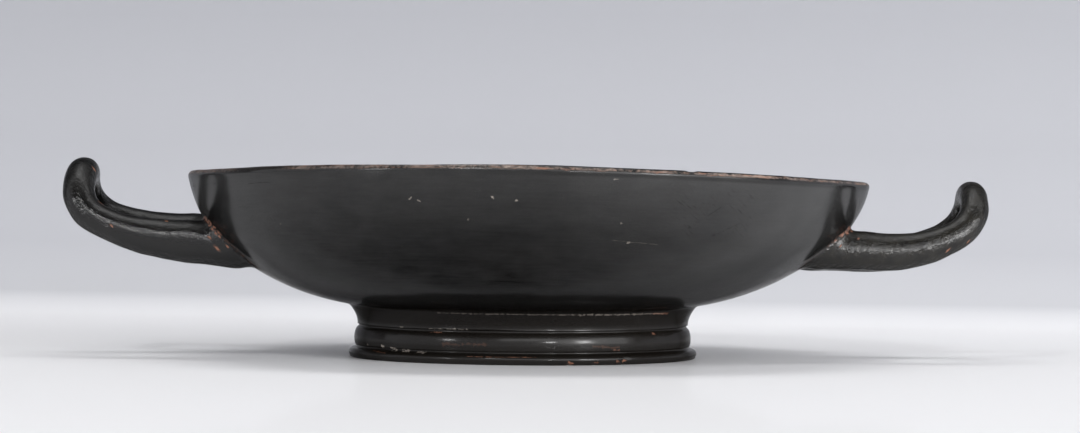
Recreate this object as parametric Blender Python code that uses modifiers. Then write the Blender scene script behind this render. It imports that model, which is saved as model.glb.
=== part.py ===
"""Stemless kylix: a shallow thrown bowl on a moulded ring foot, with two upturned loop handles.

The cup is one piece of fired clay. The bowl and foot are turned as one solid, the handles are
rolled rods luted to the wall, and the bowl's inside is cut out last, so that no rod comes through.
Metres, +Z up. The origin is the centre of the resting ring, and the handles lie along X.
"""

import math

import bmesh
import bpy
import numpy as np

MM = 0.001
NAME = "kylix_cup"

# Turning: the bowl's outer wall, as two tangent arcs from the top of the foot to the lip.
NECK_TOP_RADIUS = 44.2 * MM
NECK_TOP_HEIGHT = 13.3 * MM
UNDERSIDE_SLOPE = math.radians(8.7)
LOWER_ARC = (62.0 * MM, math.radians(31.8))
UPPER_ARC = (31.9 * MM, math.radians(37.6))
LIP_RADIUS = 1.4 * MM

# Turning: the inside of the bowl, which follows the outside at the thickness of the wall.
WALL_AT_LIP = 2 * LIP_RADIUS
WALL_AT_FOOT = 4.6 * MM

# Turning: the foot, from the neck down. Each groove is (radius, height). Each bead is a part of an
# ellipse: (middle radius, middle height, bulge, half height, top angle, bottom angle).
NECK_RADIUS = 41.7 * MM
NECK_BASE_HEIGHT = 8.4 * MM
NECK_CURVE = 1.9
UPPER_GROOVE = (41.2 * MM, 7.9 * MM)
UPPER_BEAD = (41.6 * MM, 5.2 * MM, 0.9 * MM, 2.35 * MM, math.radians(70), math.radians(-50))
LOWER_GROOVE = (42.05 * MM, 3.1 * MM)
LOWER_BEAD = (42.35 * MM, 1.3 * MM, 1.6 * MM, 1.45 * MM, math.radians(80), math.radians(-60))
REST_OUTER_RADIUS = 42.6 * MM
REST_INNER_RADIUS = 38.2 * MM
HOLLOW_RADIUS = 35.0 * MM
HOLLOW_HEIGHT = 8.6 * MM
HOLLOW_CROWN = 1.0 * MM

# Drying and firing: the handles' weight drew the sides down, and the rim leans back and to +X.
SAG_START_HEIGHT = 14.0 * MM
RIM_HEIGHT = 47.0 * MM
RIM_SADDLE = 1.26 * MM
RIM_DROP_TO_HANDLE = 0.73 * MM
RIM_DROP_TO_BACK = 1.45 * MM
RIM_SKEW = 0.16 * MM
RIM_SHIFT = 1.35 * MM

# Handles: half of each rod, from its root inside the wall to the top of the loop. lift and upturn
# are bends as (start, end, turn) along the half. The tilt raises the +Y arm, and the swing carries
# it towards +X.
ROOT_REACH = 60.0 * MM
ROOT_HALF_SPREAD = 18.0 * MM
LOOP_SQUARENESS = 8.5
LEFT_HANDLE = {
    "side": -1,
    "root_height": 29.25 * MM,
    "rise": math.radians(0.3),
    "lift": (17.5 * MM, 52.7 * MM, math.radians(24.0)),
    "upturn": (43.1 * MM, 66.5 * MM, math.radians(105.8)),
    "half_length": 59.6 * MM,
    "top_half_spread": 13.0 * MM,
    "tilt": 0.028,
    "swing": 0.014,
    "radii_mm": (6.0, 7.4, 6.3, 5.55, 4.97, 4.35, 3.75, 4.0, 4.0),
}
RIGHT_HANDLE = {
    "side": 1,
    "root_height": 29.15 * MM,
    "rise": math.radians(-4.55),
    "lift": (23.7 * MM, 50.3 * MM, math.radians(30.0)),
    "upturn": (44.1 * MM, 72.6 * MM, math.radians(128.5)),
    "half_length": 60.4 * MM,
    "top_half_spread": 13.8 * MM,
    "tilt": -0.039,
    "swing": -0.035,
    "radii_mm": (5.4, 6.0, 5.75, 5.08, 4.72, 4.27, 3.78, 3.56, 3.5),
}
# Where along the half each rod radius is measured: 0 is the root, 0.11 to 0.22 is where the rod
# flares into the wall, and 1 is the top of the loop.
ROD_PLACES = (0.0, 0.11, 0.22, 0.34, 0.48, 0.62, 0.76, 0.88, 1.0)

STEPS_ROUND = 60
HANDLE_POINTS = 41
HANDLE_BEVEL_RESOLUTION = 4

BLACK_GLOSS = (0.012, 0.012, 0.013, 1.0)


def arc(start, heading, radius, turn, steps):
    """Points after start on an arc that turns left from heading, and the heading at its end."""
    angles = heading + turn * np.arange(1, steps + 1) / steps
    r = start[0] + radius * (np.sin(angles) - math.sin(heading))
    z = start[1] - radius * (np.cos(angles) - math.cos(heading))
    return list(zip(r, z)), heading + turn


def bead(middle_radius, middle_height, bulge, half_height, top, bottom, steps):
    """A convex moulding, from its top edge round to its bottom edge."""
    angles = np.linspace(top, bottom, steps + 1)
    return [(middle_radius + bulge * math.cos(a), middle_height + half_height * math.sin(a)) for a in angles]


def outer_wall():
    """The bowl's outside from the foot to just under the lip, with the heading at each point."""
    start = (NECK_TOP_RADIUS, NECK_TOP_HEIGHT)
    lower, middle_heading = arc(start, UNDERSIDE_SLOPE, *LOWER_ARC, 7)
    upper, lip_heading = arc(lower[-1], middle_heading, *UPPER_ARC, 8)
    lower_headings = np.linspace(UNDERSIDE_SLOPE, middle_heading, 8)
    upper_headings = np.linspace(middle_heading, lip_heading, 9)[1:]
    return [start] + lower + upper, list(lower_headings) + list(upper_headings)


def inner_wall():
    """The bowl's inside from the middle of the floor to just under the lip."""
    points, headings = outer_wall()
    inside = []
    for place, ((r, z), heading) in enumerate(zip(points, headings)):
        wall = WALL_AT_FOOT + (WALL_AT_LIP - WALL_AT_FOOT) * place / (len(points) - 1)
        inside.append((r - wall * math.sin(heading), z + wall * math.cos(heading)))
    edge_radius, edge_height = inside[0]
    floor_radius = edge_radius / math.sin(UNDERSIDE_SLOPE)
    floor_middle = (0.0, edge_height - floor_radius * (1 - math.cos(UNDERSIDE_SLOPE)))
    floor, _ = arc(floor_middle, 0.0, floor_radius, UNDERSIDE_SLOPE, 4)
    return [floor_middle] + floor[:-1] + inside


def lip():
    """The rounded lip, from the outer wall's last point over its crown to the inner wall's last point."""
    points, headings = outer_wall()
    (r, z), heading = points[-1], headings[-1]
    middle = (r - LIP_RADIUS * math.sin(heading), z + LIP_RADIUS * math.cos(heading))
    angles = np.linspace(heading - math.pi / 2, heading + math.pi / 2, 7)[1:-1]
    return [(middle[0] + LIP_RADIUS * math.cos(a), middle[1] + LIP_RADIUS * math.sin(a)) for a in angles]


def neck():
    """The hollowed neck between the bowl and the upper bead, from the top down."""
    drop = np.linspace(0.0, 1.0, 6)[1:]
    flare = NECK_TOP_RADIUS - 0.7 * MM - NECK_RADIUS
    height = NECK_TOP_HEIGHT - 0.6 * MM - NECK_BASE_HEIGHT
    top = [(NECK_RADIUS + flare, NECK_BASE_HEIGHT + height)]
    rise = 1 - drop
    return top + [(NECK_RADIUS + flare * t**NECK_CURVE, NECK_BASE_HEIGHT + height * t) for t in rise]


def foot_underside():
    """The resting ring and the shallow crowned hollow inside it, from the ring to the axis."""
    places = np.linspace(1.0, 0.0, 4)
    crown = [(HOLLOW_RADIUS * 0.94 * p, HOLLOW_HEIGHT + HOLLOW_CROWN * (1 - p * p)) for p in places]
    return [
        (REST_OUTER_RADIUS, 0.0),
        (REST_INNER_RADIUS, 0.0),
        (REST_INNER_RADIUS - 1.4 * MM, 2.6 * MM),
        (HOLLOW_RADIUS, HOLLOW_HEIGHT - 1.2 * MM),
    ] + crown


def settle(points):
    """Moves turned points as the clay settled, by a share that grows from the top of the foot to the lip."""
    t = np.clip((points[:, 2] - SAG_START_HEIGHT) / (RIM_HEIGHT - SAG_START_HEIGHT), 0.0, 1.0)
    weight = t * t * (3 - 2 * t)
    azimuth = np.arctan2(points[:, 1], points[:, 0])
    rim = (
        -RIM_SADDLE * np.cos(2 * azimuth)
        - RIM_DROP_TO_HANDLE * np.cos(azimuth)
        - RIM_DROP_TO_BACK * np.sin(azimuth)
        + RIM_SKEW * np.sin(2 * azimuth)
    )
    # Near the axis the azimuth means nothing, so the move there fades out.
    rim *= np.clip(np.hypot(points[:, 0], points[:, 1]) / NECK_TOP_RADIUS, 0.0, 1.0)
    moved = points.copy()
    moved[:, 0] += RIM_SHIFT * weight
    moved[:, 2] += rim * weight
    return moved


def smooth_step(value, start, end):
    t = np.clip((value - start) / (end - start), 0.0, 1.0)
    return t * t * (3 - 2 * t)


def handle_centreline(handle, count):
    """Points and radii along a whole rod.

    Seen from the side, half of the rod starts at the rise angle and turns up twice, by the lift and
    by the upturn. Seen along its length, the two halves draw together as a superellipse.
    """
    length = handle["half_length"]
    along = np.linspace(0.0, length, 1200)
    heading = handle["rise"] + sum(
        turn * smooth_step(along, start, end) for start, end, turn in (handle["lift"], handle["upturn"])
    )
    step = along[1]
    middle = (heading[1:] + heading[:-1]) / 2
    reach = ROOT_REACH + np.concatenate([[0.0], np.cumsum(np.cos(middle)) * step])
    height = handle["root_height"] + np.concatenate([[0.0], np.cumsum(np.sin(middle)) * step])

    round_loop = np.linspace(0.0, math.pi, 4001)
    place = np.sin(round_loop) ** (2 / LOOP_SQUARENESS)
    spread = ROOT_HALF_SPREAD + (handle["top_half_spread"] - ROOT_HALF_SPREAD) * place
    across = -spread * np.cos(round_loop)
    points = np.stack(
        [
            handle["side"] * np.interp(place * length, along, reach) + handle["swing"] * across * place,
            across,
            np.interp(place * length, along, height) + handle["tilt"] * across,
        ],
        axis=1,
    )
    radii = np.interp(place, ROD_PLACES, handle["radii_mm"]) * MM
    travelled = np.concatenate([[0.0], np.cumsum(np.linalg.norm(np.diff(points, axis=0), axis=1))])
    even = np.linspace(0.0, travelled[-1], count)
    points = np.stack([np.interp(even, travelled, points[:, k]) for k in range(3)], axis=1)
    return points, np.interp(even, travelled, radii)


def clear_scene():
    for obj in list(bpy.data.objects):
        bpy.data.objects.remove(obj, do_unlink=True)


def new_collection(name):
    collection = bpy.data.collections.new(name)
    bpy.context.scene.collection.children.link(collection)
    return collection


def black_gloss_material():
    material = bpy.data.materials.new("black_gloss")
    material.use_nodes = True
    shader = material.node_tree.nodes["Principled BSDF"]
    shader.inputs["Base Color"].default_value = BLACK_GLOSS
    shader.inputs["Roughness"].default_value = 0.32
    shader.inputs["Metallic"].default_value = 0.0
    return material


def as_mesh(obj, name, collection):
    """A plain mesh object with the evaluated shape of obj, which is removed."""
    bpy.context.view_layer.update()
    evaluated = obj.evaluated_get(bpy.context.evaluated_depsgraph_get())
    mesh = bpy.data.meshes.new_from_object(evaluated)
    mesh.name = name
    shape = bmesh.new()
    shape.from_mesh(mesh)
    bmesh.ops.remove_doubles(shape, verts=shape.verts, dist=0.00001)
    shape.to_mesh(mesh)
    shape.free()
    solid = bpy.data.objects.new(name, mesh)
    solid.matrix_world = obj.matrix_world
    collection.objects.link(solid)
    bpy.data.objects.remove(obj, do_unlink=True)
    return solid


def turned_solid(name, profile, collection):
    """A profile in the XZ plane, spun round Z with a Screw modifier and then settled as the clay did."""
    mesh = bpy.data.meshes.new(name + "_profile")
    mesh.from_pydata([(r, 0.0, z) for r, z in profile], [(i, i + 1) for i in range(len(profile) - 1)], [])
    obj = bpy.data.objects.new(name + "_profile", mesh)
    collection.objects.link(obj)
    screw = obj.modifiers.new("turn", "SCREW")
    screw.steps = STEPS_ROUND
    screw.render_steps = STEPS_ROUND
    screw.use_merge_vertices = True
    screw.merge_threshold = 0.00001
    solid = as_mesh(obj, name, collection)
    points = np.empty(len(solid.data.vertices) * 3, np.float32)
    solid.data.vertices.foreach_get("co", points)
    points = settle(points.reshape(-1, 3))
    solid.data.vertices.foreach_set("co", points.ravel())
    solid.data.update()
    return solid


def handle_rod(name, handle, collection):
    curve = bpy.data.curves.new(name + "_curve", "CURVE")
    curve.dimensions = "3D"
    curve.bevel_depth = 1.0
    curve.bevel_resolution = HANDLE_BEVEL_RESOLUTION
    curve.use_fill_caps = True
    points, radii = handle_centreline(handle, HANDLE_POINTS)
    spline = curve.splines.new("POLY")
    spline.points.add(len(points) - 1)
    for point, place, radius in zip(spline.points, points, radii):
        point.co = (*place, 1.0)
        point.radius = radius
    obj = bpy.data.objects.new(name + "_curve", curve)
    collection.objects.link(obj)
    return as_mesh(obj, name, collection)


def add_boolean(solid, other, operation):
    boolean = solid.modifiers.new(f"{operation.lower()}_{other.name}", "BOOLEAN")
    boolean.operation = operation
    boolean.solver = "EXACT"
    boolean.object = other
    other.hide_render = True
    other.display_type = "WIRE"


def main():
    clear_scene()
    parts = new_collection(NAME)
    helpers = new_collection("helpers")

    outside, _ = outer_wall()
    lip_points = lip()
    beads = [UPPER_GROOVE] + bead(*UPPER_BEAD, 5) + [LOWER_GROOVE] + bead(*LOWER_BEAD, 6)
    foot = neck() + beads + foot_underside()
    crown = (0.0, lip_points[len(lip_points) // 2][1])
    body_profile = [crown] + lip_points[len(lip_points) // 2 :: -1] + outside[::-1] + foot
    cup = turned_solid(NAME, body_profile, parts)

    mouth_height = crown[1] + 4 * MM
    inside = inner_wall()
    inner_lip = lip_points[: len(lip_points) // 2 - 1 : -1]
    mouth = [(0.0, mouth_height), (inner_lip[-1][0], mouth_height)]
    cavity = turned_solid("bowl_cavity", mouth + inner_lip[::-1] + inside[::-1], helpers)

    for name, handle in (("left_rod", LEFT_HANDLE), ("right_rod", RIGHT_HANDLE)):
        add_boolean(cup, handle_rod(name, handle, helpers), "UNION")
    add_boolean(cup, cavity, "DIFFERENCE")

    cup.data.materials.append(black_gloss_material())
    cup.data.shade_smooth()
    cup.data.set_sharp_from_angle(angle=math.radians(40))


main()
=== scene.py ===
"""Stemless black-gloss kylix on a pale studio floor.

One fired-clay piece: a thrown and turned bowl on a moulded ring foot, with two rolled rods bent
into upturned loops and luted on. Lengths are millimetres until the mesh is made.
"""

import math
from functools import partial
from types import SimpleNamespace

import bpy
import numpy as np
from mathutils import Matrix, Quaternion, Vector


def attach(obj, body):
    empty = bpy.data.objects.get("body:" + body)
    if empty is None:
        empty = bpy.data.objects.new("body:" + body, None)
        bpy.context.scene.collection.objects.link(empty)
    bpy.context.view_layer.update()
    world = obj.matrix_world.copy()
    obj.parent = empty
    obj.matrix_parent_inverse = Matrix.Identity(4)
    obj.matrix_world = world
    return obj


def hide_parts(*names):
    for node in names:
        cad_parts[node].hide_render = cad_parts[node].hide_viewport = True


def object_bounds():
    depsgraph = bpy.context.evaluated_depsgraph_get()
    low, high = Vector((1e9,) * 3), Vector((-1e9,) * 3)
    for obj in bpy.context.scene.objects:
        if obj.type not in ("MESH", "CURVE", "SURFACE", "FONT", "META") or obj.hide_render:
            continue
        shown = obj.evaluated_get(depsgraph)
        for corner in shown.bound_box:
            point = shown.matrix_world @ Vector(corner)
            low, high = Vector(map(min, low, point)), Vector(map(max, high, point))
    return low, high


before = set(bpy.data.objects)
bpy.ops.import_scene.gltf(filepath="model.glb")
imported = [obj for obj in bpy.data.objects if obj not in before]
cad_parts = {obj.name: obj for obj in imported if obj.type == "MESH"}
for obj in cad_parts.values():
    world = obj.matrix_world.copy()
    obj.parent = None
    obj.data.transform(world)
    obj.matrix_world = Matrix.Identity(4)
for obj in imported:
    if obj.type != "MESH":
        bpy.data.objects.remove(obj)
CAD_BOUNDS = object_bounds()
# A millimetre in metres.
MM = 0.001

# ---------------------------------------------------------------- turned shape (mm)
# Places are radius and height. An arc is its radius and the angle it turns through.
NECK_TOP = (44.2, 13.3)
UNDERSIDE_SLOPE = math.radians(8.7)
LOWER_ARC = (62.0, math.radians(31.8))
UPPER_ARC = (31.9, math.radians(37.6))
LIP_RADIUS = 1.4
WALL_AT_LIP, WALL_AT_FOOT = 2.8, 4.6
NECK_JOIN, NECK_BASE, NECK_CURVE = (43.5, 12.7), (41.7, 8.5), 1.9
NECK_EDGE = ((41.72, 8.38), (41.6, 8.28))
# Each bead: radius and height of its middle, bulge, half height, and the angles of its top and bottom.
UPPER_GROOVE = (41.2, 8.1)
UPPER_BEAD = (41.25, 4.9, 1.25, 2.95, math.radians(75), math.radians(-37))
LOWER_GROOVE = (41.95, 2.95)
LOWER_BEAD = (42.35, 1.3, 1.6, 1.4, math.radians(82), math.radians(-62))
REST_RADII = (42.6, 41.1, 39.4, 38.2)
HOLLOW_SIDE = ((37.3, 1.5), (36.7, 2.8), (35.8, 5.0), (35.0, 7.4))
CROWN_RADIUS, CROWN_EDGE, CROWN_RISE = 32.9, 8.6, 1.0

# ---------------------------------------------------------------- how the clay settled (mm)
SAG_START, RIM_HEIGHT = 14.0, 47.0
RIM_SADDLE, DROP_TO_HANDLE, DROP_TO_BACK, RIM_SKEW, RIM_SHIFT = 1.26, 0.73, 1.45, 0.16, 1.35

# ---------------------------------------------------------------- handles (mm)
# Lift and upturn are where along the rod a bend starts and ends, and its angle. The radii are those at
# ROD_PLACES, which are shares of the way from the root to the top.
ROOT_REACH, ROOT_SPREAD, SQUARENESS = 60.0, 18.0, 8.5
ROD_PLACES = (0.0, 0.11, 0.22, 0.34, 0.48, 0.62, 0.76, 0.88, 1.0)
LEFT = {
    "side": -1,
    "root_height": 29.25,
    "rise": math.radians(0.3),
    "lift": (17.5, 52.7, math.radians(24.0)),
    "upturn": (43.1, 66.5, math.radians(105.8)),
    "half_length": 59.6,
    "top_spread": 13.0,
    "tilt": 0.028,
    "swing": 0.014,
    "radii": (6.0, 7.4, 6.3, 5.55, 4.97, 4.35, 3.75, 4.0, 4.0),
}
RIGHT = {
    "side": 1,
    "root_height": 29.15,
    "rise": math.radians(-4.55),
    "lift": (23.7, 50.3, math.radians(30.0)),
    "upturn": (44.1, 72.6, math.radians(128.5)),
    "half_length": 60.4,
    "top_spread": 13.8,
    "tilt": -0.039,
    "swing": -0.035,
    "radii": (5.4, 6.0, 5.75, 5.08, 4.72, 4.27, 3.78, 3.56, 3.5),
}

# ---------------------------------------------------------------- fineness of the mesh
STEPS_ROUND = 432
LOWER_ARC_STEPS, UPPER_ARC_STEPS, FLOOR_STEPS, LIP_STEPS = 27, 20, 24, 14
NECK_STEPS, UPPER_BEAD_STEPS, LOWER_BEAD_STEPS, CROWN_STEPS = 11, 14, 11, 15
ROD_STEPS_ALONG, ROD_STEPS_ROUND = 170, 40
# A rod's path is worked out this finely before it is walked in even steps, and its radius is smoothed over
# a few of those.
HALF_PATH_STEPS, LOOP_STEPS, SMOOTHED_STEPS = 1200, 4001, 9
# Rounds that take the sag off again, and points measured against the seam at a time.
UNSETTLE_ROUNDS, BATCH = 4, 1500
SEED = 11
# How far the hollow's cutter stands above the lip.
CLEAR_ABOVE = 4.0

# ---------------------------------------------------------------- handwork (mm)
# Uneven clay: the size of its lumps, their height and the number of their random field. The turned clay
# lies a little further in, so that its lumps stay within the plain solid.
TURNED_LUMPS = ((42.0, 0.06, 1), (11.0, 0.02, 2))
ROLLED_LUMPS = ((11.0, 0.05, 3), (5.0, 0.025, 4))
SETTLED_IN = 0.13
# The face that the cup stands on stays flat to this height, and the turned clay is even near a seam: from
# the first of these distances it grows uneven, and from the second it is so in full.
REST_FLAT, SEAM_CALM = 0.4, (2.0, 8.0)
# A point belongs to the inside of the bowl when it lies this far within the outer wall, above this height.
WITHIN_WALL, BOWL_FLOOR = 1.3, 14.0
# The seams: where the roots lie (out from the middle, lowest and highest), how far the wiping reaches in
# full and at all, how much a pass moves the clay, and how many passes there are. A point is far from a seam
# beyond a distance, and farther ones aren't told apart.
ROOT_OUT, ROOT_LOW, ROOT_HIGH, FAR_FROM_SEAM = 45.0, 8.0, 46.0, 30.0
WIPED_FULLY, WIPED_AT_ALL, WIPED_SHARE, WIPES = 1.2, 4.5, 0.6, 22

# ---------------------------------------------------------------- marks of age and use
# Strokes on the turned outside: degrees round from the front (+ to the right), height in mm as thrown,
# length and width in mm, the slope of the length in degrees, and strength from 0 to 1.
PALE_MARKS = (
    (-19.7, 38.9, 0.6, 0.26, 40, 0.23),
    (-18.0, 38.2, 1.4, 0.20, -25, 0.2),
    (-20.0, 37.6, 0.2, 0.28, 0, 0.26),
    (-6.0, 39.5, 0.5, 0.34, -30, 0.33),
    (-2.0, 38.8, 0.3, 0.30, 0, 0.29),
    (-3.5, 46.2, 1.0, 0.30, 0, 0.39),
    (-10.0, 34.4, 0.1, 0.25, 0, 0.13),
    (-23.0, 28.4, 0.6, 0.22, -20, 0.2),
    (-48.0, 33.2, 0.3, 0.22, 60, 0.2),
    (-3.5, 28.9, 0.1, 0.25, 0, 0.16),
    (16.0, 34.1, 0.3, 0.25, 0, 0.16),
    (12.0, 31.2, 0.1, 0.30, 0, 0.2),
    (14.0, 44.0, 1.0, 0.22, 5, 0.2),
    (18.5, 29.9, 1.2, 0.22, 5, 0.23),
    (19.5, 30.0, 12.0, 0.12, -4, 0.07),
    (12.0, 12.35, 62.0, 0.20, 0, 0.16),
    (36.0, 12.30, 26.0, 0.24, 0, 0.25),
    (-26.0, 8.45, 11.0, 0.20, 0, 0.35),
    (-46.0, 8.55, 1.2, 0.22, 0, 0.3),
    (-66.0, 3.6, 1.2, 0.4, 20, 0.25),
    (-54.8, 3.5, 1.0, 0.42, -5, 0.6),
    (-49.0, 3.2, 1.9, 0.42, -12, 0.5),
    (-43.0, 2.9, 2.6, 0.30, -6, 0.3),
    (-36.0, 2.7, 2.2, 0.30, 0, 0.25),
)
CLAY_MARKS = (
    (15.5, 0.65, 1.1, 0.42, 0, 0.9),
    (24.3, 0.65, 0.6, 0.35, 0, 0.8),
    (32.0, 0.95, 0.3, 0.40, 0, 0.8),
    (34.8, 0.95, 0.6, 0.55, 0, 0.95),
    (50.0, 7.3, 0.4, 0.40, 0, 0.7),
    (52.0, 12.3, 6.0, 0.25, 0, 0.5),
    (-30.5, 7.75, 3.6, 0.18, 0, 0.6),
    (-7.0, 2.15, 17.0, 0.13, 0, 0.45),
    (-20.0, 4.95, 11.0, 0.55, 1, 0.13),
    (29.0, 4.4, 7.0, 0.45, -4, 0.14),
    (33.0, 3.6, 1.2, 0.35, 0, 0.35),
    (-55.0, 2.3, 6.0, 0.2, -4, 0.2),
)
DARK_MARKS = (
    (-72.0, 42.9, 22.0, 0.12, 1, 0.7),
    (-50.0, 42.9, 9.0, 0.11, 1, 0.6),
    (31.0, 36.0, 9.0, 0.16, 35, 0.35),
    (36.5, 33.5, 7.0, 0.25, 25, 0.3),
)
# Bruises through the slip on the rods and at their roots: x, y, z of the middle and size, in mm.
BRUISES = (
    (79.0, -21.2, 31.8, 0.7),
    (80.3, -19.9, 32.4, 1.0),
    (81.4, -18.3, 32.8, 1.0),
    (83.0, -20.4, 31.0, 0.6),
    (78.5, -21.8, 29.2, 0.5),
    (-77.9, -20.7, 33.0, 0.5),
    (-77.0, -21.6, 32.1, 0.7),
    (-76.2, -22.3, 31.2, 0.7),
    (-75.2, -22.8, 30.3, 0.6),
    (-77.7, -22.1, 30.1, 0.7),
    (-75.8, -22.5, 27.4, 0.9),
    (-73.2, -23.1, 27.9, 0.6),
    (-88.6, -17.4, 33.9, 0.8),
    (-105.2, -12.7, 38.1, 0.8),
    (-107.5, -5.3, 46.4, 0.8),
    (-102.2, -18.1, 32.7, 0.6),
    (105.4, -17.4, 28.2, 0.7),
    (110.6, -15.5, 30.4, 0.6),
)
# Each bruise leans down towards the foot at 45 degrees. It is round in a space where lengths along that
# lean are short and those across it long: these scale the sum and the difference of reach and height.
LEAN = (0.32, 0.95)
# Chips out of the foot's lower edge: degrees, height, size and depth in mm. They stay outside a radius, and
# are at full depth over this share of their size. Their edge wanders by a share, in lumps of a size.
CHIPS = (
    (15.5, 0.5, 0.9, 0.10),
    (24.3, 0.5, 0.8, 0.10),
    (34.5, 0.8, 1.2, 0.16),
)
FOOT_OUTSIDE, FULL_BITE, EDGE_WANDERS, EDGE_LUMPS = 38.0, 0.3, 0.35, 1.3
# A notch in the lip: degrees, size and depth in mm, and the heights between which it comes in.
RIM_NOTCH = (27.0, 1.6, 0.35)
NOTCH_RISE = (46.2, 47.0)
# The measures that each point of the mesh keeps for the skin.
MEASURES = ("thrown_height", "thrown_radius", "facing", "seam_gap", "rolled", "inside")

# ---------------------------------------------------------------- studio (m, W)
CAMERA_PLACE, CAMERA_LOOK = (0.0, -1.4, 0.0674), (0.002925, 1.0, -0.02285)
CAMERA_ROLL, CAMERA_LENS = 0.008, 185.7
# The sweep: where its bend starts behind the cup, the bend's radius and angle, the paper's own turn, how
# far it reaches to the front and the sides, and how far it rises.
SWEEP_START, SWEEP_BEND, SWEEP_TILT, SWEEP_TURN = 0.20, 0.10, math.radians(84), math.radians(-13)
SWEEP_REACH, SWEEP_HEIGHT = 4.0, 3.0
# The paper's colour on the floor, then the greys it turns to as it rises, painted shade for the light
# falling off up the backdrop: start and end height, and colour.
PAPER_FLOOR = "#f0f0f2"
PAPER_PAINTED_SHADE = (
    (0.0, 0.006, "#c2c3c7"),
    (0.004, 0.02, "#aeafb4"),
    (0.02, 0.05, "#a5a6ab"),
    (0.06, 0.10, "#9fa0a5"),
    (0.12, 0.40, "#2c2d30"),
)
# Each light: name, place, width and height, and power. All of them aim at the middle of the cup.
LIGHTS_AIM = (0.0, 0.0, 0.02)
LIGHTS = (
    ("overhead_softbox", (0.0, 0.25, 1.2), (0.8, 0.6), 6.4),
    ("left_softbox", (-0.9, 0.0, 1.1), (0.6, 0.8), 1.4),
    ("right_softbox", (0.9, 0.0, 1.1), (0.6, 0.8), 2.6),
    ("right_panel", (1.487, -1.247, 0.484), (1.8, 0.9), 15.0),
    ("front_strip", (0.07, -1.37, 0.61), (1.0, 0.35), 3.2),
    ("right_low_lamp", (0.982, -1.090, 0.287), (0.22, 0.28), 6.0),
    ("left_low_lamp", (-1.121, -0.907, 0.413), (0.14, 0.18), 2.0),
    ("front_lamp", (0.457, -1.405, 0.26), (0.12, 0.10), 2.9),
    ("right_high_lamp", (0.638, -0.847, 1.06), (0.12, 0.12), 1.2),
    ("left_high_lamp", (-0.443, -1.096, 0.923), (0.10, 0.24), 3.8),
)


# ================================================================ numbers
def smooth_step(value, start, end):
    """0 before start, 1 after end, and the cubic 3t^2 - 2t^3 between."""
    t = np.clip((value - start) / (end - start), 0.0, 1.0)
    return t * t * (3 - 2 * t)


def lumps(points, size, seed, waves=26):
    """A smooth random field: the sum of plane waves of about one size in random directions, each with
    a random phase, divided by the root of half their number so that its spread is about 1."""
    rng = np.random.default_rng(SEED * 1000 + seed)
    way = rng.normal(size=(waves, 3))
    way /= np.linalg.norm(way, axis=1)[:, None]
    way *= (2 * math.pi / (size * rng.uniform(0.7, 1.5, waves)))[:, None]
    phase = rng.uniform(0, 2 * math.pi, waves)
    field = np.zeros(len(points))
    for w, p in zip(way, phase):
        field += np.cos(points @ w + p)
    return field / math.sqrt(waves / 2)


def uneven(points, kinds):
    """Lumps of several kinds added up, each at its own height."""
    return sum(height * lumps(points, size, seed) for size, height, seed in kinds)


# ================================================================ profile
def arc(start, heading, radius, turn, steps):
    """Points after start on an arc that turns left from heading, and the heading at each."""
    angles = heading + turn * np.arange(1, steps + 1) / steps
    r = start[0] + radius * (np.sin(angles) - math.sin(heading))
    z = start[1] - radius * (np.cos(angles) - math.cos(heading))
    return list(zip(r, z)), list(angles)


def outer_wall():
    """The bowl's outside as two tangent arcs, with the heading at each point."""
    lower, lower_headings = arc(NECK_TOP, UNDERSIDE_SLOPE, *LOWER_ARC, LOWER_ARC_STEPS)
    upper, upper_headings = arc(lower[-1], lower_headings[-1], *UPPER_ARC, UPPER_ARC_STEPS)
    headings = [UNDERSIDE_SLOPE] + lower_headings + upper_headings
    return np.array([NECK_TOP] + lower + upper), np.array(headings)


def inner_wall():
    """The outside moved inwards along its normal by a wall that thins evenly from foot to lip, then the
    floor as one arc tangent to it that ends level at the middle. It runs from the middle outwards."""
    points, headings = outer_wall()
    wall = np.linspace(WALL_AT_FOOT, WALL_AT_LIP, len(points))
    inside = points + wall[:, None] * np.stack([-np.sin(headings), np.cos(headings)], axis=1)
    floor_radius = inside[0][0] / math.sin(UNDERSIDE_SLOPE)
    middle = (0.0, inside[0][1] - floor_radius * (1 - math.cos(UNDERSIDE_SLOPE)))
    floor, _ = arc(middle, 0.0, floor_radius, UNDERSIDE_SLOPE, FLOOR_STEPS)
    return np.array([middle] + floor[:-1] + list(inside))


def lip():
    """A half circle over the top of the wall, from its outside to its inside."""
    points, headings = outer_wall()
    heading = headings[-1]
    middle = points[-1] + LIP_RADIUS * np.array([-math.sin(heading), math.cos(heading)])
    angles = np.linspace(heading - math.pi / 2, heading + math.pi / 2, LIP_STEPS + 1)[1:-1]
    return middle + LIP_RADIUS * np.stack([np.cos(angles), np.sin(angles)], axis=1)


# The height of the lip as thrown.
LIP_TOP = float(lip()[:, 1].max())


def bead(radius, height, bulge, half_height, top, bottom, steps):
    """A convex moulding: part of an ellipse about its middle, from its top angle to its bottom angle."""
    a = np.linspace(top, bottom, steps + 1)
    return np.stack([radius + bulge * np.cos(a), height + half_height * np.sin(a)], axis=1)


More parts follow.
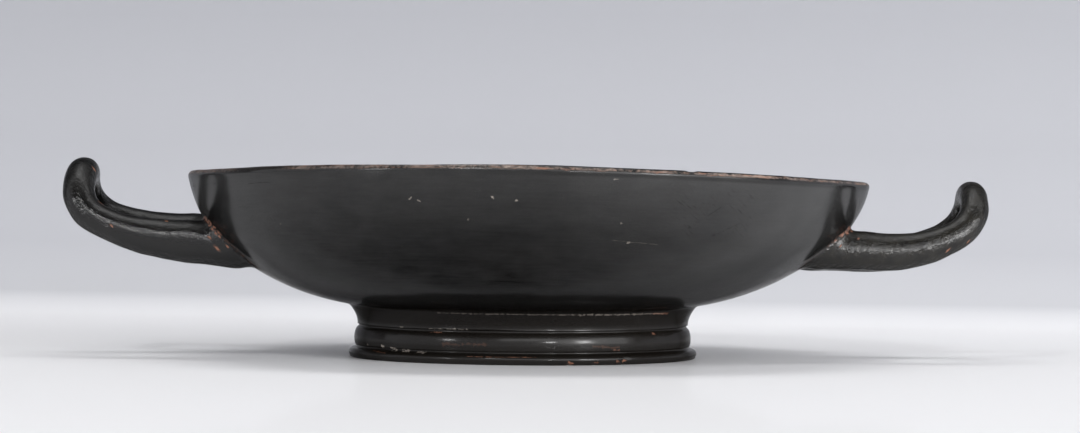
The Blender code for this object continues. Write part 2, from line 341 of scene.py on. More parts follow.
def foot():
    """The foot from the bowl down and in: the neck, whose radius grows as a power of its height, a groove,
    a bead, a groove, a bead, the resting ring, and the hollow with its crown, which is a parabola."""
    t = np.linspace(1.0, 0.0, NECK_STEPS + 1)
    flare, height = np.subtract(NECK_JOIN, NECK_BASE)
    neck = np.stack([NECK_BASE[0] + flare * t**NECK_CURVE, NECK_BASE[1] + height * t], axis=1)
    upper, lower = bead(*UPPER_BEAD, UPPER_BEAD_STEPS), bead(*LOWER_BEAD, LOWER_BEAD_STEPS)
    ring = [(radius, 0.0) for radius in REST_RADII]
    p = np.linspace(1.0, 0.0, CROWN_STEPS + 1)
    crown = np.stack([CROWN_RADIUS * p, CROWN_EDGE + CROWN_RISE * (1 - p * p)], axis=1)
    mouldings = [NECK_EDGE, [UPPER_GROOVE], upper, [LOWER_GROOVE], lower]
    return np.concatenate([neck, *mouldings, ring, HOLLOW_SIDE, crown])


def solid_profile():
    """The outline of the cup without its hollow, from the axis over the lip and down to the axis again."""
    edge = lip()
    middle = len(edge) // 2
    return np.concatenate([[(0.0, edge[middle][1])], edge[middle::-1], outer_wall()[0][::-1], foot()])


def hollow_profile():
    """The outline of what is cut out of the bowl, from the axis above it, down its inside, to the axis."""
    edge = lip()
    middle = len(edge) // 2
    radius, height = edge[middle]
    inside = np.concatenate([inner_wall(), edge[: middle - 1 : -1]])[::-1]
    return np.concatenate([[(0.0, height + CLEAR_ABOVE), (radius, height + CLEAR_ABOVE)], inside])


def settle(points):
    """How the clay sank while it dried. Each point drops by the rim's wave and shifts towards +X, in a
    share that grows as a smooth step from the top of the foot to the lip. The wave is a sum of sines and
    cosines of one and two turns, and inside the neck's radius it fades evenly towards the axis."""
    weight = smooth_step(points[:, 2], SAG_START, RIM_HEIGHT)
    turn = np.arctan2(points[:, 1], points[:, 0])
    wave = RIM_SKEW * np.sin(2 * turn) - RIM_SADDLE * np.cos(2 * turn)
    wave -= DROP_TO_HANDLE * np.cos(turn) + DROP_TO_BACK * np.sin(turn)
    wave *= np.clip(np.hypot(points[:, 0], points[:, 1]) / NECK_TOP[0], 0.0, 1.0)
    moved = points.copy()
    moved[:, 0] += RIM_SHIFT * weight
    moved[:, 2] += wave * weight
    return moved


def unsettle(points):
    """The turned place of each settled point, by taking the move off again a few times over."""
    guess = points.copy()
    for _ in range(UNSETTLE_ROUNDS):
        guess = guess - (settle(guess) - points)
    return guess


# ================================================================ meshes
def mesh_object(name, points, quads, triangles):
    """An object from grids of points in mm, with every face listed by array."""
    mesh = bpy.data.meshes.new(name)
    loops = np.concatenate([quads.ravel(), triangles.ravel()]).astype(np.int32)
    sizes = np.concatenate([np.full(len(quads), 4), np.full(len(triangles), 3)])
    mesh.vertices.add(len(points))
    mesh.vertices.foreach_set("co", (points * MM).astype(np.float32).ravel())
    mesh.loops.add(len(loops))
    mesh.loops.foreach_set("vertex_index", loops)
    mesh.polygons.add(len(sizes))
    mesh.polygons.foreach_set("loop_start", np.concatenate([[0], np.cumsum(sizes)[:-1]]).astype(np.int32))
    mesh.update(calc_edges=True)
    obj = bpy.data.objects.new(name, mesh)
    bpy.context.scene.collection.objects.link(obj)
    return obj


def lathe(name, profile):
    """A profile that starts and ends on the axis, spun round Z: (r, z) goes to (r cos t, r sin t, z). Its
    two ends are single points, and the profile runs so that the solid lies on its right hand."""
    r, z = profile[1:-1].T
    turn = np.linspace(0, 2 * math.pi, STEPS_ROUND, endpoint=False)
    height = np.repeat(z[:, None], STEPS_ROUND, axis=1)
    body = np.stack([np.outer(r, np.cos(turn)), np.outer(r, np.sin(turn)), height], axis=2).reshape(-1, 3)
    points = np.concatenate([body, [[0, 0, profile[0, 1]], [0, 0, profile[-1, 1]]]])
    index = np.arange(len(body)).reshape(len(r), STEPS_ROUND)
    after = np.roll(index, -1, axis=1)
    quads = np.stack([index[:-1], index[1:], after[1:], after[:-1]], axis=2).reshape(-1, 4)
    first, last = len(body), len(body) + 1
    top = np.stack([np.full(STEPS_ROUND, first), index[0], after[0]], axis=1)
    bottom = np.stack([np.full(STEPS_ROUND, last), after[-1], index[-1]], axis=1)
    return mesh_object(name, settle(points), quads, np.concatenate([top, bottom]))


def side_view(handle):
    """The middle line of half a rod as seen from the front: places along it, its reach and its height. It
    starts at the rise angle and turns up by two smooth steps, lift and upturn."""
    along = np.linspace(0.0, handle["half_length"], HALF_PATH_STEPS)
    bends = (handle["lift"], handle["upturn"])
    heading = handle["rise"] + sum(turn * smooth_step(along, start, end) for start, end, turn in bends)
    middle = (heading[1:] + heading[:-1]) / 2
    reach = ROOT_REACH + np.concatenate([[0.0], np.cumsum(np.cos(middle)) * along[1]])
    height = handle["root_height"] + np.concatenate([[0.0], np.cumsum(np.sin(middle)) * along[1]])
    return along, reach, height


def rod_centreline(handle):
    """Points and radii along a whole rod, in even steps. Its two halves follow the side view and draw
    together as a superellipse: the share of the way to the top, to the power of the squareness, and the
    square of the share across add up to one. The halves lean opposite ways by the tilt and the swing."""
    along, reach, height = side_view(handle)
    loop = np.linspace(0.0, math.pi, LOOP_STEPS)
    place = np.sin(loop) ** (2 / SQUARENESS)
    across = -(ROOT_SPREAD + (handle["top_spread"] - ROOT_SPREAD) * place) * np.cos(loop)
    walked = place * handle["half_length"]
    out = handle["side"] * np.interp(walked, along, reach) + handle["swing"] * across * place
    up = np.interp(walked, along, height) + handle["tilt"] * across
    points = np.stack([out, across, up], axis=1)
    radii = np.interp(place, ROD_PLACES, handle["radii"])
    travelled = np.concatenate([[0.0], np.cumsum(np.linalg.norm(np.diff(points, axis=0), axis=1))])
    even = np.linspace(0.0, travelled[-1], ROD_STEPS_ALONG)
    points = np.stack([np.interp(even, travelled, points[:, k]) for k in range(3)], axis=1)
    hump = np.hanning(SMOOTHED_STEPS)
    radii = np.pad(np.interp(even, travelled, radii), len(hump) // 2, mode="edge")
    return points, np.convolve(radii, hump / hump.sum(), mode="valid")


def rod(name, handle):
    """A round rod along its centreline. Rings are square to the path, and each ring's start is carried
    from the last one with no twist. Its two ends are closed on a middle point."""
    centre, radii = rod_centreline(handle)
    ahead = np.gradient(centre, axis=0)
    ahead /= np.linalg.norm(ahead, axis=1)[:, None]
    first = np.cross(ahead[0], [0.0, 0.0, 1.0])
    sides = [first / np.linalg.norm(first)]
    for way in ahead[1:]:
        side = sides[-1] - way * (sides[-1] @ way)
        sides.append(side / np.linalg.norm(side))
    side = np.array(sides)
    up = np.cross(ahead, side)
    turn = np.linspace(0, 2 * math.pi, ROD_STEPS_ROUND, endpoint=False)
    ring = side[:, None] * np.cos(turn)[None, :, None] + up[:, None] * np.sin(turn)[None, :, None]
    body = (centre[:, None] + radii[:, None, None] * ring).reshape(-1, 3)
    body += ring.reshape(-1, 3) * uneven(body, ROLLED_LUMPS)[:, None]
    points = np.concatenate([body, centre[:1], centre[-1:]])
    index = np.arange(len(body)).reshape(ROD_STEPS_ALONG, ROD_STEPS_ROUND)
    after = np.roll(index, -1, axis=1)
    quads = np.stack([index[:-1], after[:-1], after[1:], index[1:]], axis=2).reshape(-1, 4)
    near_end = np.stack([np.full(ROD_STEPS_ROUND, len(body)), after[0], index[0]], axis=1)
    far_end = np.stack([np.full(ROD_STEPS_ROUND, len(body) + 1), index[-1], after[-1]], axis=1)
    return mesh_object(name, points, quads, np.concatenate([near_end, far_end]))


def joined(base, others):
    """The base with each other solid added or cut away, as one plain mesh. A face keeps the number of
    the clay it came from: 0 turned, 1 rolled."""
    solids = [base] + [other for other, _ in others]
    clays = [bpy.data.materials.new(name) for name in ("turned", "rolled")]
    for obj in solids:
        for clay in clays:
            obj.data.materials.append(clay)
        rolled = int(obj.name.endswith("rod"))
        obj.data.polygons.foreach_set("material_index", np.full(len(obj.data.polygons), rolled, np.int32))
    for other, operation in others:
        boolean = base.modifiers.new(operation, "BOOLEAN")
        boolean.operation, boolean.solver, boolean.object = operation, "EXACT", other
    bpy.context.view_layer.update()
    mesh = bpy.data.meshes.new_from_object(base.evaluated_get(bpy.context.evaluated_depsgraph_get()))
    for obj in solids:
        bpy.data.objects.remove(obj, do_unlink=True)
    return mesh


def read(items, name, width=1, kind=np.float64):
    """One property of every item in a mesh list, as an array."""
    values = np.empty(len(items) * width, np.int32 if kind is int else np.float32)
    items.foreach_get(name, values)
    return values.reshape(-1, width).astype(kind) if width > 1 else values.astype(kind)


def place_points(mesh, points):
    """Puts points in mm into the mesh."""
    mesh.vertices.foreach_set("co", (points * MM).astype(np.float32).ravel())
    mesh.update()


def seam_gap(mesh, points):
    """Each point's distance in mm from the line where rolled clay meets turned clay, and whether the point
    is on rolled clay only. Points far from the roots aren't measured: they count as far away."""
    loops = read(mesh.loops, "vertex_index", kind=int)
    corners = read(mesh.polygons, "loop_total", kind=int)
    clay = np.repeat(read(mesh.polygons, "material_index", kind=int), corners)
    rolled, turned = np.zeros(len(points), bool), np.zeros(len(points), bool)
    rolled[loops[clay == 1]] = True
    turned[loops[clay == 0]] = True
    line = points[rolled & turned]
    x, z = points[:, 0], points[:, 2]
    near = np.flatnonzero((np.abs(x) > ROOT_OUT) & (z > ROOT_LOW) & (z < ROOT_HIGH))
    gap = np.full(len(points), FAR_FROM_SEAM)
    for part in np.array_split(near, max(1, len(near) // BATCH)):
        to_line = np.linalg.norm(points[part][:, None] - line[None], axis=2).min(axis=1)
        gap[part] = np.minimum(to_line, FAR_FROM_SEAM)
    return gap, rolled & ~turned


def worked_in(mesh, points, gap):
    """The clay wiped in along the seam: points there move towards the mean of their neighbours, many
    times over, less with distance, until the corner is a small hollow curve."""
    ends = read(mesh.edges, "vertices", 2, int)
    here, there = np.concatenate([ends, ends[:, ::-1]]).T
    count = np.maximum(np.bincount(here, minlength=len(points)), 1)[:, None]
    share = (WIPED_SHARE * (1 - smooth_step(gap, WIPED_FULLY, WIPED_AT_ALL)))[:, None]
    for _ in range(WIPES):
        total = np.stack([np.bincount(here, points[there, k], len(points)) for k in range(3)], axis=1)
        points = points + share * (total / count - points)
    return points


def chipped(points, outward, thrown):
    """Small chips at the foot, and one notch in the lip. Each is a shallow bite with a ragged edge: its
    depth falls as a smooth step of the distance from its middle."""
    facing = np.degrees(np.arctan2(thrown[:, 0], -thrown[:, 1]))
    radius, height = np.hypot(thrown[:, 0], thrown[:, 1]), thrown[:, 2]
    ragged = np.clip(1 + EDGE_WANDERS * lumps(points, EDGE_LUMPS, 7), 0.5, 1.8)
    depth = np.zeros(len(points))
    for turn, level, size, bite in CHIPS:
        gap = np.hypot(np.radians(facing - turn) * radius, height - level) * ragged
        depth += bite * (1 - smooth_step(gap, FULL_BITE * size, size)) * (radius > FOOT_OUTSIDE)
    turn, size, bite = RIM_NOTCH
    gap = np.abs(np.radians(facing - turn) * radius) * ragged
    depth += bite * (1 - smooth_step(gap, FULL_BITE * size, size)) * smooth_step(height, *NOTCH_RISE)
    return points - outward * depth[:, None]


def cup_mesh():
    """The closed cup: the turned outside with both rods added, the hollow of the bowl cut out, the seams
    wiped in and the small damage made. It keeps the measures that the skin is painted by."""
    body, cavity = lathe("turned_body", solid_profile()), lathe("bowl_hollow", hollow_profile())
    rods = [(rod("left_rod", LEFT), "UNION"), (rod("right_rod", RIGHT), "UNION")]
    mesh = joined(body, rods + [(cavity, "DIFFERENCE")])
    points = read(mesh.vertices, "co", 3) / MM
    gap, rolled = seam_gap(mesh, points)
    points = worked_in(mesh, points, gap)
    place_points(mesh, points)
    outward = read(mesh.vertex_normals, "vector", 3)

    thrown = unsettle(points)
    radius, height = np.hypot(thrown[:, 0], thrown[:, 1]), thrown[:, 2]
    edge = lip()
    wall = np.concatenate([outer_wall()[0], edge[: len(edge) // 2]])
    within = radius < np.interp(height, wall[:, 1], wall[:, 0]) - WITHIN_WALL
    inside = within & (height > BOWL_FLOOR) & ~rolled
    off_rest = ~rolled & (height > REST_FLAT)
    waves = np.where(off_rest, uneven(points, TURNED_LUMPS) - SETTLED_IN, 0.0) * smooth_step(gap, *SEAM_CALM)
    points = chipped(points + outward * waves[:, None], outward, thrown)
    low, high = np.array(CAD_BOUNDS) / MM
    place_points(mesh, np.clip(points, low, high))

    mesh.polygons.foreach_set("material_index", np.zeros(len(mesh.polygons), np.int32))
    facing = np.degrees(np.arctan2(thrown[:, 0], -thrown[:, 1]))
    for name, values in zip(MEASURES, (height, radius, facing, gap, rolled, inside)):
        mesh.attributes.new(name, "FLOAT", "POINT").data.foreach_set("value", values.astype(np.float32))
    mesh.update()
    return mesh


# ================================================================ colour and nodes
def linear(hex_colour):
    """A hex sRGB colour as linear red, green, blue and 1: each channel is c / 12.92 where dark, and
    ((c + 0.055) / 1.055) ^ 2.4 elsewhere."""
    values = [int(hex_colour[k : k + 2], 16) / 255 for k in (1, 3, 5)]
    return tuple(v / 12.92 if v <= 0.04045 else ((v + 0.055) / 1.055) ** 2.4 for v in values) + (1.0,)


def add_node(tree, kind, inputs=(), output=0, **settings):
    """Adds one node and returns one of its outputs. Each input is a value or another node's output, in the
    order of the node's sockets or in a dict by name or number. The rest are the node's settings."""
    new = tree.nodes.new("ShaderNode" + kind)
    for name, value in settings.items():
        setattr(new, name, value)
    for socket, value in inputs.items() if isinstance(inputs, dict) else enumerate(inputs):
        if isinstance(value, bpy.types.NodeSocket):
            tree.links.new(value, new.inputs[socket])
        else:
            new.inputs[socket].default_value = value
    return new.outputs[output]


def combined(add, operation, *fields):
    """Several fields folded into one, from the left, by one operation of arithmetic."""
    total = fields[0]
    for field in fields[1:]:
        total = add("Math", (total, field), operation=operation)
    return total


def summed(add, start, *terms):
    """A start value plus each term's field times its share."""
    total = start
    for field, share in terms:
        total = add("Math", (field, share, total), operation="MULTIPLY_ADD")
    return total


def grain(add, place, size, detail=3.0, rough=0.55, shift=0.0):
    """A soft random field from 0 to 1, about 0.5 in the middle. Its lumps are size mm across, as one
    number or as one for each axis, and the shift keeps two fields from lining up."""
    sizes = size if isinstance(size, tuple) else (size, size, size)
    scale = [1 / (lump * MM) for lump in sizes]
    moved = add("Mapping", {"Vector": place, "Scale": scale, "Location": (shift, 2 * shift, -shift)})
    values = {"Vector": moved, "Scale": 1.0, "Detail": detail, "Roughness": rough}
    return add("TexNoise", values, output="Fac")


def painted(add, colour, *coats):
    """A colour with coats laid over it in turn. Each coat has its share from 0 to 1 and its colour."""
    for share, coat in coats:
        coat = linear(coat) if isinstance(coat, str) else coat
        colour = add("Mix", {0: share, 6: colour, 7: coat}, output=2, data_type="RGBA")
    return colour


# ================================================================ skin
def skin_fields(add):
    """What the coats are placed by: the mesh's own measures, the sides of the cup, the turned surface
    unrolled into metres round from the front and metres up, and random fields that several coats share."""
    skin = SimpleNamespace(place=add("TexCoord", output="Object"))
    for name in MEASURES:
        setattr(skin, name, add("Attribute", output="Fac", attribute_name=name))
    skin.turned = add("Math", (1.0, skin.rolled), operation="SUBTRACT")
    hidden = combined(add, "MAXIMUM", skin.inside, skin.rolled)
    skin.outside = add("Math", (1.0, hidden), operation="SUBTRACT")
    skin.x, skin.y, skin.z = (add("SeparateXYZ", (skin.place,), output=axis) for axis in "XYZ")
    skin.left, skin.right = (add("MapRange", (skin.x, -end, end)) for end in (-10 * MM, 10 * MM))
    skin.right_rod = combined(add, "MULTIPLY", skin.rolled, skin.right)
    skin.low = combined(add, "MULTIPLY", add("MapRange", (skin.thrown_height, 14.0, 12.5)), skin.turned)
    around = combined(add, "MULTIPLY", skin.facing, skin.thrown_radius, math.radians(MM))
    up = combined(add, "MULTIPLY", skin.thrown_height, MM)
    skin.wall = add("CombineXYZ", (around, up))
    skin.small = grain(add, skin.place, 2.2, detail=4.0, rough=0.65, shift=3.0)
    skin.torn = grain(add, skin.place, 0.9, rough=0.7, shift=37.0)
    skin.mottle = grain(add, skin.place, 7.0, detail=4.0, rough=0.6, shift=23.0)
    skin.crumb = grain(add, skin.place, 5.0, detail=5.0, rough=0.7, shift=19.0)
    return skin


def window(add, field, rise, fall):
    """1 inside a range and 0 outside. It fades in over the rise and out over the fall, each given by its
    start and end."""
    return combined(add, "MULTIPLY", add("MapRange", (field, *rise)), add("MapRange", (field, *fall)))


def lip_wear(add, skin):
    """Wear on the lip: over its crown on the left of the front, and along its outer shoulder on the right.
    Its lower edge is ragged by a millimetre, and a short stretch on the left has kept its slip."""
    below = add("Math", (LIP_TOP, skin.thrown_height), operation="SUBTRACT")
    ragged = summed(add, below, (skin.small, 1.0), (1.0, -0.5))
    band = add("MapRange", (ragged, 1.1, 0.8))
    to_right = add("MapRange", (skin.facing, -8.0, 2.0))
    kept_crown = combined(add, "MULTIPLY", to_right, add("MapRange", (ragged, 0.45, 0.25)))
    kept_stretch = window(add, skin.facing, (-62.0, -56.0), (-40.0, -46.0))
    flaking = combined(add, "ADD", skin.torn, skin.mottle)
    shares = (
        summed(add, 0.5, (to_right, 0.35)),
        summed(add, 1.0, (kept_stretch, -0.92)),
        summed(add, 1.0, (kept_crown, -1.0)),
        add("MapRange", (flaking, 0.8, 1.1)),
    )
    return combined(add, "MULTIPLY", skin.outside, band, *shares)


def bruises(add, skin):
    """Bare spots on the rods and at their roots: 1 within half a millimetre or so of each middle. Space is
    squeezed along 45 degrees first, so each spot is long, and noise makes its edge ragged."""
    flakes = grain(add, skin.place, 0.4, detail=2.0, rough=0.7, shift=47.0)
    jags = add("Math", (combined(add, "SUBTRACT", flakes, 0.5),), operation="ABSOLUTE")
    ragged = summed(add, 0.7, (jags, 9.0))
    out = add("Math", (skin.x,), operation="ABSOLUTE")
    lengthways = combined(add, "MULTIPLY", combined(add, "ADD", out, skin.z), LEAN[0])
    crossways = combined(add, "MULTIPLY", combined(add, "SUBTRACT", out, skin.z), LEAN[1])
    leaned = add("CombineXYZ", (lengthways, crossways, skin.y))
    spots = []
    for x, y, z, size in BRUISES:
        middle = np.array([(abs(x) + z) * LEAN[0], (abs(x) - z) * LEAN[1], y]) * MM
        gap = add("VectorMath", (leaned, middle), output="Value", operation="DISTANCE")
        spot = add("MapRange", (combined(add, "MULTIPLY", gap, ragged), 0.6 * size * MM, 0.4 * size * MM))
        spots.append(combined(add, "MULTIPLY", spot, skin.left if x < 0 else skin.right))
    return combined(add, "MAXIMUM", *spots)


def seam_wear(add, skin):
    """A broken line of bare clay along the seam of each rod, strong at the top of the root, faint below."""
    line = add("MapRange", (skin.seam_gap, 0.42, 0.15))
    broken = add("MapRange", (skin.torn, 0.46, 0.56))
    strength = add("MapRange", (skin.thrown_height, 30.4, 31.4, 0.12, 0.82))
    return combined(add, "MULTIPLY", line, broken, strength)


def stroke_group():
    """One mark's strength: 1 inside a short stroke on the unrolled wall and 0 beyond its ragged edge.
    The distance is taken from the stroke's middle line, after a turn by its slope."""
    group = bpy.data.node_groups.new("stroke", "ShaderNodeTree")
    add = partial(add_node, group)
    for name in ("Turn", "Height", "Radius", "Facing", "Level", "Length", "Width", "Slope", "Ragged"):
        group.interface.new_socket(name, in_out="INPUT", socket_type="NodeSocketFloat")
    group.interface.new_socket("Mark", in_out="OUTPUT", socket_type="NodeSocketFloat")
    given = group.nodes.new("NodeGroupInput").outputs
    turn = combined(add, "SUBTRACT", given["Turn"], given["Facing"])
    around = combined(add, "MULTIPLY", turn, math.radians(1.0), given["Radius"])
    up = combined(add, "SUBTRACT", given["Height"], given["Level"])
    down = combined(add, "MULTIPLY", up, -1.0)
    cos = add("Math", (given["Slope"],), operation="COSINE")
    sin = add("Math", (given["Slope"],), operation="SINE")
    along = summed(add, combined(add, "MULTIPLY", around, cos), (up, sin))
    across = summed(add, combined(add, "MULTIPLY", around, sin), (down, cos))
    past = summed(add, add("Math", (along,), operation="ABSOLUTE"), (given["Length"], -0.5))
    past = combined(add, "MAXIMUM", past, 0.0)
    gap = add("VectorMath", (add("CombineXYZ", (past, across)),), output="Value", operation="LENGTH")
    edge = combined(add, "MULTIPLY", given["Width"], given["Ragged"])
    mark = add("MapRange", (combined(add, "DIVIDE", gap, edge), 1.0, 0.5))
    group.links.new(mark, group.nodes.new("NodeGroupOutput").inputs["Mark"])
    return group


def strokes(add, skin, group, marks):
    """The strongest of a list of strokes at each point, on the turned outside only."""
    # A stroke is widest where the slip tore, and shrinks to nothing between.
    torn_width = combined(add, "MAXIMUM", summed(add, -0.42 * 7.0, (skin.torn, 7.0)), 0.001)
    here = {"Turn": skin.facing, "Height": skin.thrown_height, "Radius": skin.thrown_radius}
    found = []
    for turn, level, length, width, slope, strength in marks:
        stroke = {"Facing": turn, "Level": level, "Length": length, "Width": width}
        stroke |= {"Slope": math.radians(slope), "Ragged": torn_width}
        mark = add("Group", here | stroke, output="Mark", node_tree=group)
        found.append(combined(add, "MULTIPLY", mark, strength))
    return combined(add, "MULTIPLY", combined(add, "MAXIMUM", *found), skin.outside)


def scuffed_patch(add, skin):
    """A rubbed place on the right half of the wall: many short scuffs, 3 mm long and a third of a
    millimetre wide, that slope up to the left."""
    leaning = add("Mapping", {"Vector": skin.wall, "Rotation": (0, 0, math.radians(32))})
    scuff = add("MapRange", (grain(add, leaning, (3.2, 0.32, 1.0), detail=1.0, shift=41.0), 0.60, 0.68))
    sideways = window(add, skin.facing, (19.0, 27.0), (44.0, 38.0))
    upright = window(add, skin.thrown_height, (30.0, 33.0), (43.0, 41.0))
    patchy = add("MapRange", (skin.mottle, 0.45, 0.55))
    return combined(add, "MULTIPLY", scuff, sideways, upright, patchy, skin.outside, 0.5)


def worn_places(add, skin):
    """Every coat of wear: lip, bare clay, pale residue and dark scuffs, each from 0 to 1."""
    group = stroke_group()
    rod_wear = combined(add, "MULTIPLY", skin.rolled, add("MapRange", (skin.crumb, 0.72, 0.76)))
    stands = add("MapRange", (skin.thrown_height, 0.08, 0.02))
    chips = strokes(add, skin, group, CLAY_MARKS)
    bare = combined(add, "MAXIMUM", rod_wear, chips, bruises(add, skin), seam_wear(add, skin), stands)
    pale = strokes(add, skin, group, PALE_MARKS)
    dark = combined(add, "MAXIMUM", strokes(add, skin, group, DARK_MARKS), scuffed_patch(add, skin))
    return SimpleNamespace(lip=lip_wear(add, skin), bare=bare, pale=pale, dark=dark)


def skin_colour(add, skin, worn):
    """Near-black slip, browner where it lies thin and on the foot, with its scuffs and residue. On the right
    rod it is
    lighter and browner: partly its own gritty slip, partly painted light for the better-lit right handle.
    Over it
    comes bare clay: greyed and streaked on the lip, orange-buff elsewhere."""
    broad = grain(add, skin.place, 26.0, shift=7.0)
    thinness = summed(add, 0.0, (broad, 0.5), (skin.mottle, 0.5))
    # The right rod's lighter grey-brown is partly its gritty slip and partly painted light, lifting the
    # better-lit right handle.
    grit_and_painted_light = combined(add, "MULTIPLY", skin.right_rod, add("MapRange", (skin.small, 0.35, 0.60)))
    slip = painted(
        add,
        linear("#080808"),
        (add("MapRange", (thinness, 0.38, 0.64)), "#131211"),
        (combined(add, "MULTIPLY", skin.low, 0.6), "#17130f"),
        (grit_and_painted_light, "#1f1d19"),
        (worn.dark, "#050505"),
        (worn.pale, "#c3b9ae"),
    )
    streak = grain(add, skin.wall, (5.0, 0.3, 1.0), detail=2.0, shift=53.0)
    streak = add("MapRange", (streak, 0.52, 0.60, 0.0, 0.6))
    lip_clay = painted(
        add, linear("#574d49"), (add("MapRange", (skin.small, 0.42, 0.60)), "#96857b"), (streak, "#9c6b52")
    )
    clay = painted(add, linear("#6e4738"), (skin.small, "#946a55"))
    return painted(add, slip, (worn.lip, lip_clay), (worn.bare, clay))


def skin_roughness(add, skin, worn):
    """A glossy slip with a fine haze of duller specks, a tenth of a millimetre across and so drawn as
    coarse as they show. It is duller on a hand's patch at the top right of the wall, on the upper sides of
    the rods, where they are held, and wherever it is worn."""
    haze = grain(add, skin.place, 0.09, detail=0.0, shift=31.0)
    slip = add("MapRange", (haze, 0.52, 0.56, 0.15, 0.47))
    slip = combined(add, "MULTIPLY", slip, summed(add, 1.0, (skin.rolled, -0.45)))
    upward = add("SeparateXYZ", (add("TexCoord", output="Normal"),), output="Z")
    held = combined(add, "MULTIPLY", skin.rolled, add("MapRange", (upward, 0.45, 0.70)))
    sideways = window(add, skin.facing, (5.0, 13.0), (29.0, 20.0))
    above = add("MapRange", (skin.thrown_height, 37.0, 40.0))
    touched = combined(add, "MULTIPLY", sideways, above, skin.outside)
    worn_through = combined(add, "MAXIMUM", worn.lip, worn.bare, worn.pale, worn.dark)
    return summed(add, slip, (held, 0.28), (touched, 0.1), (worn_through, 0.4))


def skin_mirror(add, skin, worn):
    """How strongly the slip mirrors. A sintered slip is a little rough, so towards its edges it mirrors
    less than glass would. On the wall it lies thinner and duller towards the bottom and thickest under the
    lip on the right, in faint level brush streaks 9 mm long and half a millimetre high, and in soft
    clouds. Scuffs, the lip's edge on the right and the shelter under the bowl are duller still."""
    turned_away = add("LayerWeight", output="Facing")
    away = summed(add, turned_away, (combined(add, "MAXIMUM", skin.low, skin.rolled), 0.2))
    facing_share = combined(add, "POWER", add("MapRange", (away, 0.9, 0.55)), 1.33)
    mirror = combined(add, "MULTIPLY", combined(add, "MAXIMUM", facing_share, 0.06), 0.47)

    brushed = grain(add, skin.wall, (9.0, 0.5, 1.0), detail=4.0, rough=0.65, shift=43.0)
    clouded = grain(add, skin.wall, (11.0, 4.0, 1.0), detail=4.0, rough=0.6, shift=59.0)
    by_height = add("MapRange", (skin.thrown_height, 20.0, 43.0, -0.90, 0.20))
    by_side = add("MapRange", (skin.facing, 0.0, 50.0, 0.0, 1.1))
    polish = summed(add, by_height, (by_side, 1.0), (brushed, 0.45), (clouded, 0.7), (-0.5, 0.45 + 0.7))
    above_foot = add("MapRange", (skin.thrown_height, 13.0, 15.0))
    seen_square = add("MapRange", (turned_away, 0.8, 0.5))
    wall_only = combined(add, "MULTIPLY", skin.outside, above_foot, seen_square)
    polish = summed(add, 1.0, (polish, wall_only))

    above_edge = add("MapRange", (skin.thrown_height, LIP_TOP - 2.6, LIP_TOP - 2.0))
    on_right = add("MapRange", (skin.facing, -10.0, 5.0))
    used_edge = combined(add, "MULTIPLY", above_edge, on_right, skin.outside, 0.40)
    sheltered = window(add, skin.thrown_height, (8.8, 9.6), (27.0, 17.0))
    sheltered = combined(add, "MULTIPLY", sheltered, skin.outside, 0.36)
    dull = combined(add, "MAXIMUM", combined(add, "MULTIPLY", worn.dark, 0.7), sheltered, used_edge)
    foot_share = summed(add, 1.0, (skin.low, -0.32))
    return combined(add, "MULTIPLY", mirror, polish, foot_share, summed(add, 1.0, (dull, -1.0)))


def skin_relief(add, skin, worn):
    """Height in mm: wheel lines a millimetre apart and wider rings on the turned clay, lumps, nubs and grit
    on the rolled rods, grit most on the right one, and a step down of 0.04 mm where the slip is gone."""
    wheel = grain(add, skin.place, (45.0, 45.0, 0.9), rough=0.6, shift=11.0)
    wheel_wide = grain(add, skin.place, (80.0, 80.0, 4.5), detail=2.0, shift=13.0)
    nubs = grain(add, skin.place, 1.6, shift=29.0)
    fine = grain(add, skin.place, 0.7, detail=2.0)
    grit = summed(add, 0.07, (skin.right_rod, 0.045))
    turned = summed(add, 0.0, (wheel, 0.010), (wheel_wide, 0.03))
    rolled = summed(add, 0.0, (skin.crumb, 0.26), (nubs, 0.20), (fine, grit))
    slip_gone = combined(add, "MAXIMUM", worn.bare, worn.lip)
    terms = (turned, skin.turned), (rolled, skin.rolled), (skin.small, 0.012), (slip_gone, -0.04)
    return summed(add, 0.0, *terms)


def gloss_material():
    """Black-gloss slip, brushed on leather-hard clay and fired. It gives a thin near-black skin that
    mirrors softly, drawn into fine lines by the wheel, worn through to orange-buff clay on the lip, the
    seams and the mouldings. Its IOR is a sintered slip's, a little under glass."""
    material = bpy.data.materials.new("black_gloss_slip_brushed_and_fired")
    material.use_nodes = True
    tree = material.node_tree
    add = partial(add_node, tree)
    skin = skin_fields(add)
    worn = worn_places(add, skin)
    relief = skin_relief(add, skin, worn)
    sockets = tree.nodes["Principled BSDF"].inputs
    sockets["IOR"].default_value = 1.47
    tree.links.new(skin_colour(add, skin, worn), sockets["Base Color"])
    tree.links.new(skin_roughness(add, skin, worn), sockets["Roughness"])
    tree.links.new(skin_mirror(add, skin, worn), sockets["Specular IOR Level"])
    tree.links.new(add("Bump", {"Height": relief, "Distance": MM, "Strength": 1.0}), sockets["Normal"])
    return material


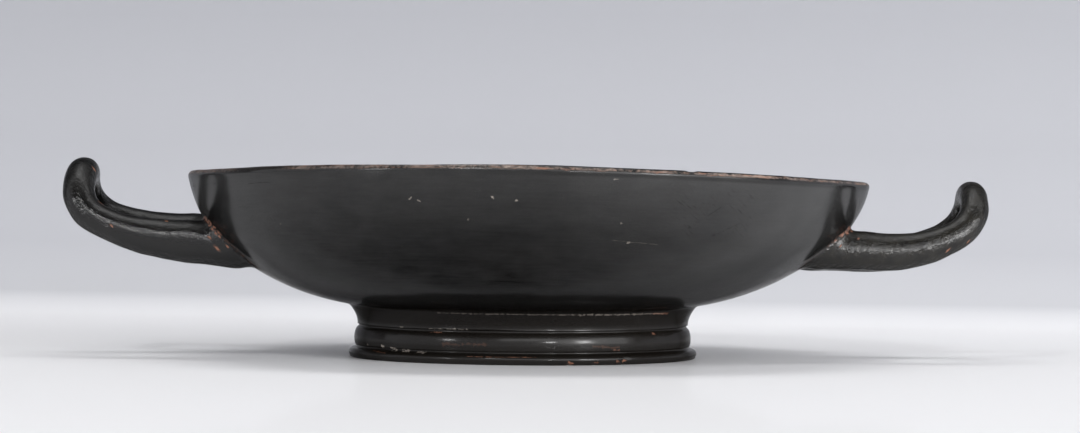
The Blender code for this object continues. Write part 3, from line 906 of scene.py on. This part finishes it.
# ================================================================ studio
def paper_sweep():
    """A pale paper sweep: a flat floor that bends up behind the cup, as an arc, into an upright backdrop.
    The paper is turned a little, so its bend is nearer on the right."""
    angles = np.linspace(0, SWEEP_TILT, 33)
    floor = np.array([(-SWEEP_REACH, 0.0), (-1.0, 0.0)])
    bend = np.stack([SWEEP_START + SWEEP_BEND * np.sin(angles), SWEEP_BEND * (1 - np.cos(angles))], axis=1)
    top = bend[-1:] + SWEEP_HEIGHT * np.array([[math.cos(SWEEP_TILT), math.sin(SWEEP_TILT)]])
    section = np.repeat(np.concatenate([floor, bend, top]), 2, axis=0)
    across = np.tile([-SWEEP_REACH, SWEEP_REACH], len(section) // 2)
    cos, sin = math.cos(SWEEP_TURN), math.sin(SWEEP_TURN)
    back, up = section.T
    points = np.stack([across * cos - back * sin, across * sin + back * cos, up], axis=1)
    rows = np.arange(len(section) // 2 - 1) * 2
    quads = np.stack([rows, rows + 1, rows + 3, rows + 2], axis=1)
    sweep = mesh_object("paper_sweep", points / MM, quads, np.zeros((0, 3), int))
    sweep.data.shade_smooth()
    sweep.data.materials.append(paper_material())


def paper_material():
    """Matt paper, rolled. It is palest on the floor and painted greyer as it rises, painted shade for the
    light falling off up the backdrop, with a faint skim of gloss that shows only at a grazing angle: 0.12 of
    the cube of how far it is turned away. It shows only its front, so that the cup can be seen from behind
    too."""
    material = bpy.data.materials.new("pale_paper_matt")
    material.use_nodes = True
    tree = material.node_tree
    add = partial(add_node, tree)
    up = add("SeparateXYZ", (add("TexCoord", output="Object"),), output="Z")
    # The greys up the sweep are painted shade, standing in for the light falling off up the backdrop.
    coats = [(add("MapRange", (up, start, end)), colour) for start, end, colour in PAPER_PAINTED_SHADE]
    matt = tree.nodes["Principled BSDF"]
    matt.inputs["Roughness"].default_value = 0.7
    tree.links.new(painted(add, linear(PAPER_FLOOR), *coats), matt.inputs["Base Color"])
    grazing = combined(add, "POWER", add("LayerWeight", output="Facing"), 3.0)
    skim = combined(add, "MULTIPLY", add("MapRange", (up, 0.004, 0.0)), grazing, 0.12)
    gloss = add("BsdfGlossy", {"Roughness": 0.05})
    front = add("MixShader", (skim, matt.outputs[0], gloss))
    behind = add("NewGeometry", output="Backfacing")
    surface = add("MixShader", (behind, front, add("BsdfTransparent")))
    tree.links.new(surface, tree.nodes["Material Output"].inputs["Surface"])
    return material


def lights():
    """A soft box overhead and one to each side, a big panel low on the right, a wide low strip in front and
    small lamps: three low ones for the foot and the right handle, and two high ones for the handles. The
    room's air glows evenly below and fades out overhead."""
    for name, place, size, power in LIGHTS:
        light = bpy.data.lights.new(name, "AREA")
        light.shape, light.energy = "RECTANGLE", power
        light.size, light.size_y = size
        lamp = bpy.data.objects.new(name, light)
        bpy.context.scene.collection.objects.link(lamp)
        lamp.location = place
        lamp.rotation_euler = (Vector(LIGHTS_AIM) - Vector(place)).to_track_quat("-Z", "Y").to_euler()
    world = bpy.data.worlds.new("studio_air")
    bpy.context.scene.world = world
    world.use_nodes = True
    add = partial(add_node, world.node_tree)
    up = add("SeparateXYZ", (add("TexCoord", output="Generated"),), output="Z")
    air = world.node_tree.nodes["Background"].inputs
    air["Color"].default_value = linear("#fafaff")
    world.node_tree.links.new(add("MapRange", (up, 0.65, 0.35, 0.0, 0.90)), air["Strength"])


def camera():
    """A long lens 1.4 m in front of the cup and 67 mm above the table. It looks 1.3 degrees down and is
    rolled by half a degree."""
    data = bpy.data.cameras.new("camera")
    obj = bpy.data.objects.new("camera", data)
    bpy.context.scene.collection.objects.link(obj)
    obj.location = CAMERA_PLACE
    look = Vector(CAMERA_LOOK).to_track_quat("-Z", "Y")
    obj.rotation_euler = (look @ Quaternion((0, 0, 1), CAMERA_ROLL)).to_euler()
    data.sensor_width, data.lens = 36.0, CAMERA_LENS
    data.clip_end = 20.0
    bpy.context.scene.camera = obj


def main():
    """The studio, and in it the finished cup in place of its plain solid."""
    camera()
    paper_sweep()
    lights()
    bpy.context.scene.view_settings.view_transform = "Standard"
    mesh = cup_mesh()
    mesh.name = "kylix"
    mesh.materials.clear()
    mesh.materials.append(gloss_material())
    mesh.shade_smooth()
    kylix = bpy.data.objects.new("kylix", mesh)
    bpy.context.scene.collection.objects.link(kylix)
    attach(kylix, "root")
    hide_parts("kylix_cup")


main()
